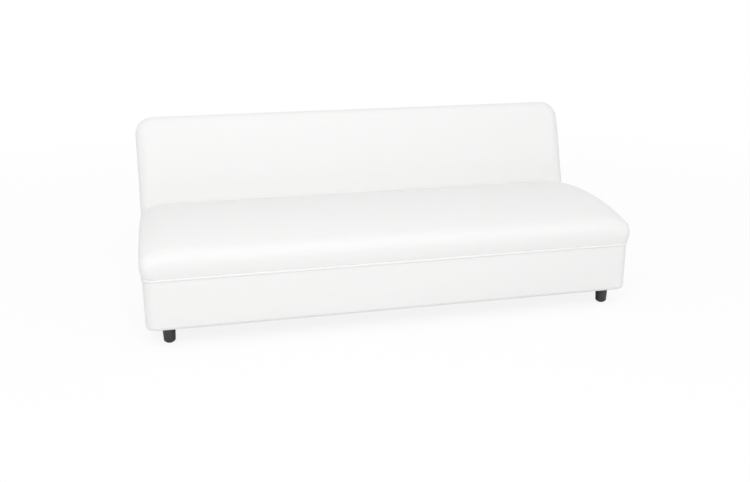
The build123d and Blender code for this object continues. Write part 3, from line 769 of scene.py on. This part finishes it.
class SOFA_OT_back(bpy.types.Operator):
    """Upholsters the raked back."""

    bl_idname = "sofa.back"
    bl_label = "Upholster the back"

    def execute(self, context):
        sofa = context.scene.sofa_upholstery

        def hold(place):
            return clamped((place.z - SEAT_HIGH.z) / BACK_FREE_ABOVE_SEAT)

        back = upholster(
            "back_cover", "back", sofa.cloth_cell, sofa.back_give, hold, "back_wadding"
        )
        axes, least, most = outside_back_axes()
        for vertex in back.data.vertices:
            across, up, out = (vertex.co.dot(axis) for axis in axes)
            beyond = max(least.x - across, across - most.x, up - most.y)
            drawn_in = clamped(1.0 - beyond / SEAM_ROLL)
            if out > most.z - SEAM_ROLL / 2:
                vertex.co -= axes[2] * sofa.seam_sink * drawn_in
        fit_out(back, leatherette("back leatherette"), "leatherette", "back_cover")
        return {"FINISHED"}


class SOFA_OT_base(bpy.types.Operator):
    """Covers the base, with its hem turned under."""

    bl_idname = "sofa.base"
    bl_label = "Cover the base"

    def execute(self, context):
        sofa = context.scene.sofa_upholstery
        size, middle = size_and_middle(BASE_LOW, BASE_HIGH)
        bpy.ops.mesh.primitive_cube_add(size=1.0, location=middle, scale=size)
        base = fresh("base")
        settle_place(base)
        edit(base)
        pick(base, "edges", lambda e: abs(e.verts[0].co.z - e.verts[1].co.z) > size.z / 2)
        bpy.ops.mesh.bevel(offset=sofa.corner, segments=CORNER_FACETS, affect="EDGES")
        pick(base, "edges", lambda e: all(v.co.z < BASE_LOW.z + NEAR for v in e.verts))
        bpy.ops.mesh.bevel(offset=sofa.turn_under, segments=TURN_UNDER_FACETS, affect="EDGES")
        pick(base, "faces", lambda f: f.normal.z < -FACING)
        bpy.ops.mesh.inset(thickness=sofa.hem - sofa.turn_under)
        extrude(HEM_RISE)
        for axis, count in enumerate(BASE_CELLS):
            normal = Vector((axis == 0, axis == 1, axis == 2))
            for step in range(1, count):
                cut_walls(base, BASE_LOW + size * step / count, normal)
        bpy.ops.object.mode_set(mode="OBJECT")
        unevenness = bpy.data.textures.new("padding under the cover", "CLOUDS")
        unevenness.noise_scale = CLOUD_SIZE
        walls = base.vertex_groups.new(name="walls")
        for vertex in base.data.vertices:
            from_edge = min(vertex.co.z - BASE_LOW.z, BASE_HIGH.z - vertex.co.z)
            felt = clamped((from_edge - PLAIN_EDGE) / EDGE_FADE)
            walls.add([vertex.index], felt, "REPLACE")
        soft = base.modifiers.new("padding", "DISPLACE")
        soft.texture = unevenness
        soft.texture_coords = "LOCAL"
        soft.strength = sofa.base_unevenness
        soft.mid_level = CLOUD_LEVEL
        soft.vertex_group = "walls"
        apply_all(base)
        smooth(base, EDGE_ANGLE)
        fit_out(base, leatherette("base leatherette"), "leatherette", "base_cover")
        return {"FINISHED"}


class SOFA_OT_outside_back(bpy.types.Operator):
    """Makes the flat outside back with its rolled rim, sewn on behind."""

    bl_idname = "sofa.outside_back"
    bl_label = "Make the outside back"

    def execute(self, context):
        sofa = context.scene.sofa_upholstery
        axes, least, most = outside_back_axes()
        size, middle = size_and_middle(least, most)
        columns, rows = PANEL_CELLS
        bpy.ops.mesh.primitive_grid_add(x_subdivisions=columns, y_subdivisions=rows, size=1.0)
        panel = fresh("outside_back")
        panel.scale = (size.x + PANEL_EASE, size.y + PANEL_EASE, 1.0)
        settle_place(panel)
        edit(panel)
        bpy.ops.mesh.select_all(action="SELECT")
        for step in range(RIM_STEPS):
            before, after = (math.pi / 2 * turn / RIM_STEPS for turn in (step, step + 1))
            bpy.ops.mesh.inset(
                thickness=sofa.rim * (math.cos(before) - math.cos(after)),
                depth=sofa.rim * (math.sin(after) - math.sin(before)),
            )
        bpy.ops.object.mode_set(mode="OBJECT")
        for vertex in panel.data.vertices:
            from_edge = min(size.x / 2 - abs(vertex.co.x), size.y / 2 - abs(vertex.co.y))
            within = max(from_edge - sofa.rim, 0.0)
            swell = PANEL_SWELL * (1.0 - math.exp(-within / PANEL_SWELL_WIDTH))
            vertex.co.z += swell - PANEL_SUNK
        edit(panel)
        bpy.ops.mesh.select_all(action="SELECT")
        extrude(-PANEL_THICKNESS)
        bpy.ops.mesh.select_all(action="SELECT")
        bpy.ops.mesh.normals_make_consistent(inside=False)
        bpy.ops.object.mode_set(mode="OBJECT")
        place = axes[0] * middle.x + axes[1] * middle.y + axes[2] * most.z
        turn = Matrix(axes).transposed().to_4x4()
        panel.matrix_world = Matrix.Translation(place) @ turn
        settle_place(panel)
        smooth(panel, EDGE_ANGLE)
        fit_out(panel, leatherette("outside leatherette"), "leatherette", "rear_panel")
        return {"FINISHED"}


class SOFA_OT_dust_cloth(bpy.types.Operator):
    """Closes the underside with its dust cloth."""

    bl_idname = "sofa.dust_cloth"
    bl_label = "Stretch the dust cloth"

    def execute(self, context):
        size, middle = size_and_middle(CLOTH_LOW, CLOTH_HIGH)
        columns, rows = CLOTH_CELLS
        bpy.ops.mesh.primitive_grid_add(
            x_subdivisions=columns, y_subdivisions=rows, size=1.0,
            location=(middle.x, middle.y, 0.0),
        )
        cloth = fresh("dust_cloth")
        cloth.scale = (size.x, size.y, 1.0)
        settle_place(cloth)
        for vertex in cloth.data.vertices:
            place = vertex.co
            from_end = size.x / 2 - abs(place.x - middle.x)
            from_side = size.y / 2 - abs(place.y - middle.y)
            slack = clamped((min(from_end, from_side) - CLOTH_TAUT_EDGE) / CLOTH_FADE)
            bend = CLOTH_WANDER * math.sin(place.y * CLOTH_WAVES[1])
            wave = math.sin(place.x * CLOTH_WAVES[0] + bend)
            place.z = middle.z - slack * (CLOTH_SAG + CLOTH_RIPPLE * wave)
        solid = cloth.modifiers.new("cloth", "SOLIDIFY")
        solid.thickness = CLOTH_THICKNESS
        solid.offset = 0.0
        apply_all(cloth)
        smooth(cloth)
        fit_out(cloth, fibres("dust cloth seen", **BLACK_FIBRES), "dust_cloth", "dust_cover")
        return {"FINISHED"}


class SOFA_OT_staples(bpy.types.Operator):
    """Drives the staples round the dust cloth."""

    bl_idname = "sofa.staples"
    bl_label = "Drive the staples"

    def execute(self, context):
        staple = self.model()
        copies = []
        for place, slant in self.places(context.scene.sofa_upholstery.staple_pitch):
            copy = staple.copy()
            copy.data = staple.data.copy()
            context.scene.collection.objects.link(copy)
            copy.location = place
            copy.rotation_euler.z = slant
            copies.append(copy)
        bpy.data.objects.remove(staple, do_unlink=True)
        deselect()
        for copy in copies:
            copy.select_set(True)
        context.view_layer.objects.active = copies[0]
        bpy.ops.object.join()
        staples = fresh("staples")
        settle_place(staples)
        fit_out(staples, zinc(), "steel")
        return {"FINISHED"}

    def model(self):
        """One staple, its crown down and its legs up."""
        bpy.ops.mesh.primitive_cube_add(size=1.0)
        staple = fresh("staples")
        staple.scale = STAPLE_CROWN
        settle_place(staple)
        edit(staple)
        leg = STAPLE_CROWN[0] / 2 - STAPLE_CROWN[1]
        for side in (-leg, leg):
            bpy.ops.mesh.select_all(action="SELECT")
            bpy.ops.mesh.bisect(plane_co=(side, 0.0, 0.0), plane_no=(1.0, 0.0, 0.0))
        pick(
            staple, "faces",
            lambda f: f.normal.z > FACING and abs(f.calc_center_median().x) > leg,
        )
        extrude(STAPLE_LEG)
        bpy.ops.object.mode_set(mode="OBJECT")
        return staple

    def places(self, pitch):
        """Place and turn of each staple, in a row along every side of the cloth."""
        size, middle = size_and_middle(CLOTH_LOW, CLOTH_HIGH)
        wobble = random.Random(STAPLE_SEED)
        half = size / 2 - Vector((STAPLE_INSET, STAPLE_INSET, 0.0))
        level = middle.z - CLOTH_THICKNESS / 2 - STAPLE_CROWN[2] / 2
        rows = (
            (Vector((1.0, 0.0)), half.x, Vector((0.0, half.y))),
            (Vector((0.0, 1.0)), half.y, Vector((half.x, 0.0))),
        )
        for along, reach, aside in rows:
            count = round(2 * reach / pitch)
            for number in range(count):
                for side in (-1, 1):
                    spot = along * reach * (2 * (number + 0.5) / count - 1) + aside * side
                    slant = math.atan2(along.y, along.x) + wobble.gauss(0.0, STAPLE_SLANT)
                    yield (middle.x + spot.x, middle.y + spot.y, level), slant


class SOFA_OT_piping(bpy.types.Operator):
    """Runs the piping round the front and the ends of the seat's seam."""

    bl_idname = "sofa.piping"
    bl_label = "Run the piping"

    def execute(self, context):
        sofa = context.scene.sofa_upholstery
        sunk = sofa.piping_sunk
        low = Vector((BASE_LOW.x + sunk, BASE_LOW.y + sunk, SEAM_Z))
        high = Vector((BASE_HIGH.x - sunk, PIPING_REAR, SEAM_Z))
        size, middle = size_and_middle(low, high)
        bpy.ops.mesh.primitive_plane_add(size=1.0, location=middle)
        piping = fresh("piping")
        piping.scale = (size.x, size.y, 1.0)
        settle_place(piping)
        edit(piping)
        bpy.ops.mesh.select_mode(type="EDGE")
        bpy.ops.mesh.select_all(action="SELECT")
        bpy.ops.mesh.delete(type="ONLY_FACE")
        pick(piping, "edges", lambda e: all(v.co.y > high.y - NEAR for v in e.verts))
        bpy.ops.mesh.delete(type="EDGE")
        pick(piping, "verts", lambda v: v.co.y < low.y + NEAR)
        bpy.ops.mesh.bevel(offset=sofa.corner - sunk, segments=PIPING_FACETS, affect="VERTICES")
        take_up(piping)
        bpy.ops.object.convert(target="CURVE")
        piping.data.bevel_depth = sofa.piping
        piping.data.bevel_resolution = PIPING_ROUNDNESS
        piping.data.use_fill_caps = True
        bpy.ops.object.convert(target="MESH")
        smooth(piping, EDGE_ANGLE)
        sleeve = leatherette("piping leatherette", PIPING_FINENESS, PIPING_GRAIN_DEPTH)
        fit_out(piping, sleeve, "piping", "seat_piping")
        return {"FINISHED"}


class SOFA_OT_frame(bpy.types.Operator):
    """Finishes what is inside the sofa, its feet and its fasteners."""

    bl_idname = "sofa.frame"
    bl_label = "Finish the frame and the feet"

    def execute(self, context):
        black = tuple(context.scene.sofa_finishes.foot_black)
        finishes = {
            "timber": timber(),
            "hardboard": fibres(
                "hardboard", (0.25, 0.16, 0.09), (0.47, 0.32, 0.19),
                scale=300.0, roughness=0.7, depth=0.0002,
            ),
            "foam": fibres(
                "foam", (0.72, 0.64, 0.42), (0.90, 0.83, 0.60),
                scale=500.0, roughness=0.9, depth=0.001,
            ),
            "wadding": fibres(
                "wadding", (0.82, 0.82, 0.80), (0.95, 0.95, 0.93),
                scale=120.0, roughness=0.9, depth=0.002,
            ),
            "webbing": woven(
                "webbing", (0.06, 0.055, 0.05), (0.19, 0.17, 0.15),
                threads_per_metre=900.0, depth=0.0004,
            ),
            "deck_cloth": woven(
                "deck cloth", (0.42, 0.38, 0.31), (0.68, 0.63, 0.53),
                threads_per_metre=700.0, depth=0.0004,
            ),
            "dust_cloth": fibres("dust cloth", **BLACK_FIBRES),
            "steel": zinc(),
            "foot_plastic": plastic("foot plastic", black, roughness=0.38, fineness=1500.0),
            "glide_plastic": plastic(
                "glide plastic", (0.30, 0.30, 0.30), roughness=0.5, fineness=1200.0
            ),
        }
        slots = {row["node"]: row["material_slot"] for row in frame["record"]["subparts"]}
        for node, piece in CAD_NODES.items():
            if slots[node] in finishes:
                piece.data.materials.clear()
                piece.data.materials.append(finishes[slots[node]])
        return {"FINISHED"}


class SOFA_OT_stage(bpy.types.Operator):
    """Sets the floor, the lights and the camera."""

    bl_idname = "sofa.stage"
    bl_label = "Set the stage"

    def execute(self, context):
        self.lay_floor()
        context.scene.world = self.light_room()
        for name, place, aim, width, watts in LAMPS:
            bpy.ops.object.light_add(type="AREA", location=place)
            lamp = bpy.context.object
            lamp.name = name
            lamp.data.size = width
            lamp.data.energy = watts
            turn = (Vector(aim) - Vector(place)).to_track_quat("-Z", "Y")
            lamp.rotation_euler = turn.to_euler()
        context.scene.camera = self.set_camera(context.scene.sofa_stage)
        context.scene.view_settings.view_transform = "Standard"
        return {"FINISHED"}

    def lay_floor(self):
        """A pale floor that fades to white and keeps the sofa's shadow."""
        bpy.ops.mesh.primitive_plane_add(size=FLOOR_WIDTH, location=FLOOR_MIDDLE)
        floor = fresh("floor")
        settle_place(floor)
        material = bpy.data.materials.new("pale floor")
        material.use_nodes = True
        tree = material.node_tree
        tree.nodes.clear()
        paper = tree.nodes.new("ShaderNodeBsdfDiffuse")
        paper.inputs["Color"].default_value = (PAPER, PAPER, PAPER, 1.0)
        glow = tree.nodes.new("ShaderNodeEmission")
        glow.inputs["Color"].default_value = (1.0, 1.0, 1.0, 1.0)
        rays = tree.nodes.new("ShaderNodeLightPath")
        mix = tree.nodes.new("ShaderNodeMixShader")
        place = tree.nodes.new("ShaderNodeTexCoord").outputs["Object"]
        distance = tree.nodes.new("ShaderNodeVectorMath")
        distance.operation = "LENGTH"
        tree.links.new(place, distance.inputs[0])
        whiteness = ranged(tree, distance.outputs["Value"], *FLOOR_FADE, FLOOR_SHADE, 1.0)
        seen = math_node(tree, "MULTIPLY", rays.outputs["Is Camera Ray"], whiteness)
        out = tree.nodes.new("ShaderNodeOutputMaterial")
        tree.links.new(seen, mix.inputs["Fac"])
        tree.links.new(paper.outputs[0], mix.inputs[1])
        tree.links.new(glow.outputs[0], mix.inputs[2])
        tree.links.new(mix.outputs[0], out.inputs["Surface"])
        floor.data.materials.append(material)

    def light_room(self):
        """A world that lights the sofa plainly and is white where it is seen or reflected."""
        world = bpy.data.worlds.new("pale room")
        world.use_nodes = True
        tree = world.node_tree
        tree.nodes.clear()
        rays = tree.nodes.new("ShaderNodeLightPath").outputs
        straight = math_node(tree, "MAXIMUM", rays["Is Camera Ray"], rays["Is Glossy Ray"])
        straight = math_node(tree, "MAXIMUM", straight, rays["Is Transmission Ray"])
        backdrop = tree.nodes.new("ShaderNodeBackground")
        strength = ranged(tree, straight, 0.0, 1.0, DAYLIGHT, 1.0)
        tree.links.new(strength, backdrop.inputs["Strength"])
        backdrop.inputs["Color"].default_value = (1.0, 1.0, 1.0, 1.0)
        out = tree.nodes.new("ShaderNodeOutputWorld")
        tree.links.new(backdrop.outputs[0], out.inputs["Surface"])
        return world

    def set_camera(self, stage):
        """A camera at its place, turned by yaw, pitch and roll."""
        forward = Vector(
            (
                math.sin(stage.yaw) * math.cos(stage.pitch),
                math.cos(stage.yaw) * math.cos(stage.pitch),
                -math.sin(stage.pitch),
            )
        )
        right = Vector((math.cos(stage.yaw), -math.sin(stage.yaw), 0.0))
        up = right.cross(forward)
        level_right = right * math.cos(stage.roll) + up * math.sin(stage.roll)
        level_up = up * math.cos(stage.roll) - right * math.sin(stage.roll)
        bpy.ops.object.camera_add(location=stage.camera_place)
        camera = bpy.context.object
        camera.name = "camera"
        camera.rotation_euler = Matrix((level_right, level_up, -forward)).transposed().to_euler()
        camera.data.sensor_width = SENSOR
        camera.data.lens = stage.lens
        return camera


class SOFA_PT_panel(bpy.types.Panel):
    """Lists the sofa's steps."""

    bl_label = "Armless Sofa"
    bl_idname = "SOFA_PT_panel"
    bl_space_type = "VIEW_3D"
    bl_region_type = "UI"
    bl_category = "Sofa"

    def draw(self, context):
        for step in STEPS:
            self.layout.operator(step.bl_idname)
        for group in (
            context.scene.sofa_upholstery, context.scene.sofa_finishes, context.scene.sofa_stage
        ):
            box = self.layout.box()
            for name in group.__annotations__:
                box.prop(group, name)


STEPS = (
    SOFA_OT_stage,
    SOFA_OT_frame,
    SOFA_OT_seat,
    SOFA_OT_back,
    SOFA_OT_base,
    SOFA_OT_outside_back,
    SOFA_OT_piping,
    SOFA_OT_dust_cloth,
    SOFA_OT_staples,
)
GROUPS = {
    "sofa_upholstery": SofaUpholstery,
    "sofa_finishes": SofaFinishes,
    "sofa_stage": SofaStage,
}


def register():
    """Adds the sofa's properties, operators and panel."""
    for group in (*GROUPS.values(), *STEPS, SOFA_PT_panel):
        bpy.utils.register_class(group)
    for name, group in GROUPS.items():
        setattr(bpy.types.Scene, name, bpy.props.PointerProperty(type=group))


def unregister():
    """Removes the sofa's properties, operators and panel."""
    for name in GROUPS:
        delattr(bpy.types.Scene, name)
    for group in reversed((*GROUPS.values(), *STEPS, SOFA_PT_panel)):
        bpy.utils.unregister_class(group)


def main():
    """Makes the whole sofa, one step after another."""
    register()
    for step in STEPS:
        family, name = step.bl_idname.split(".")
        getattr(getattr(bpy.ops, family), name)()


if __name__ == "__main__":
    main()
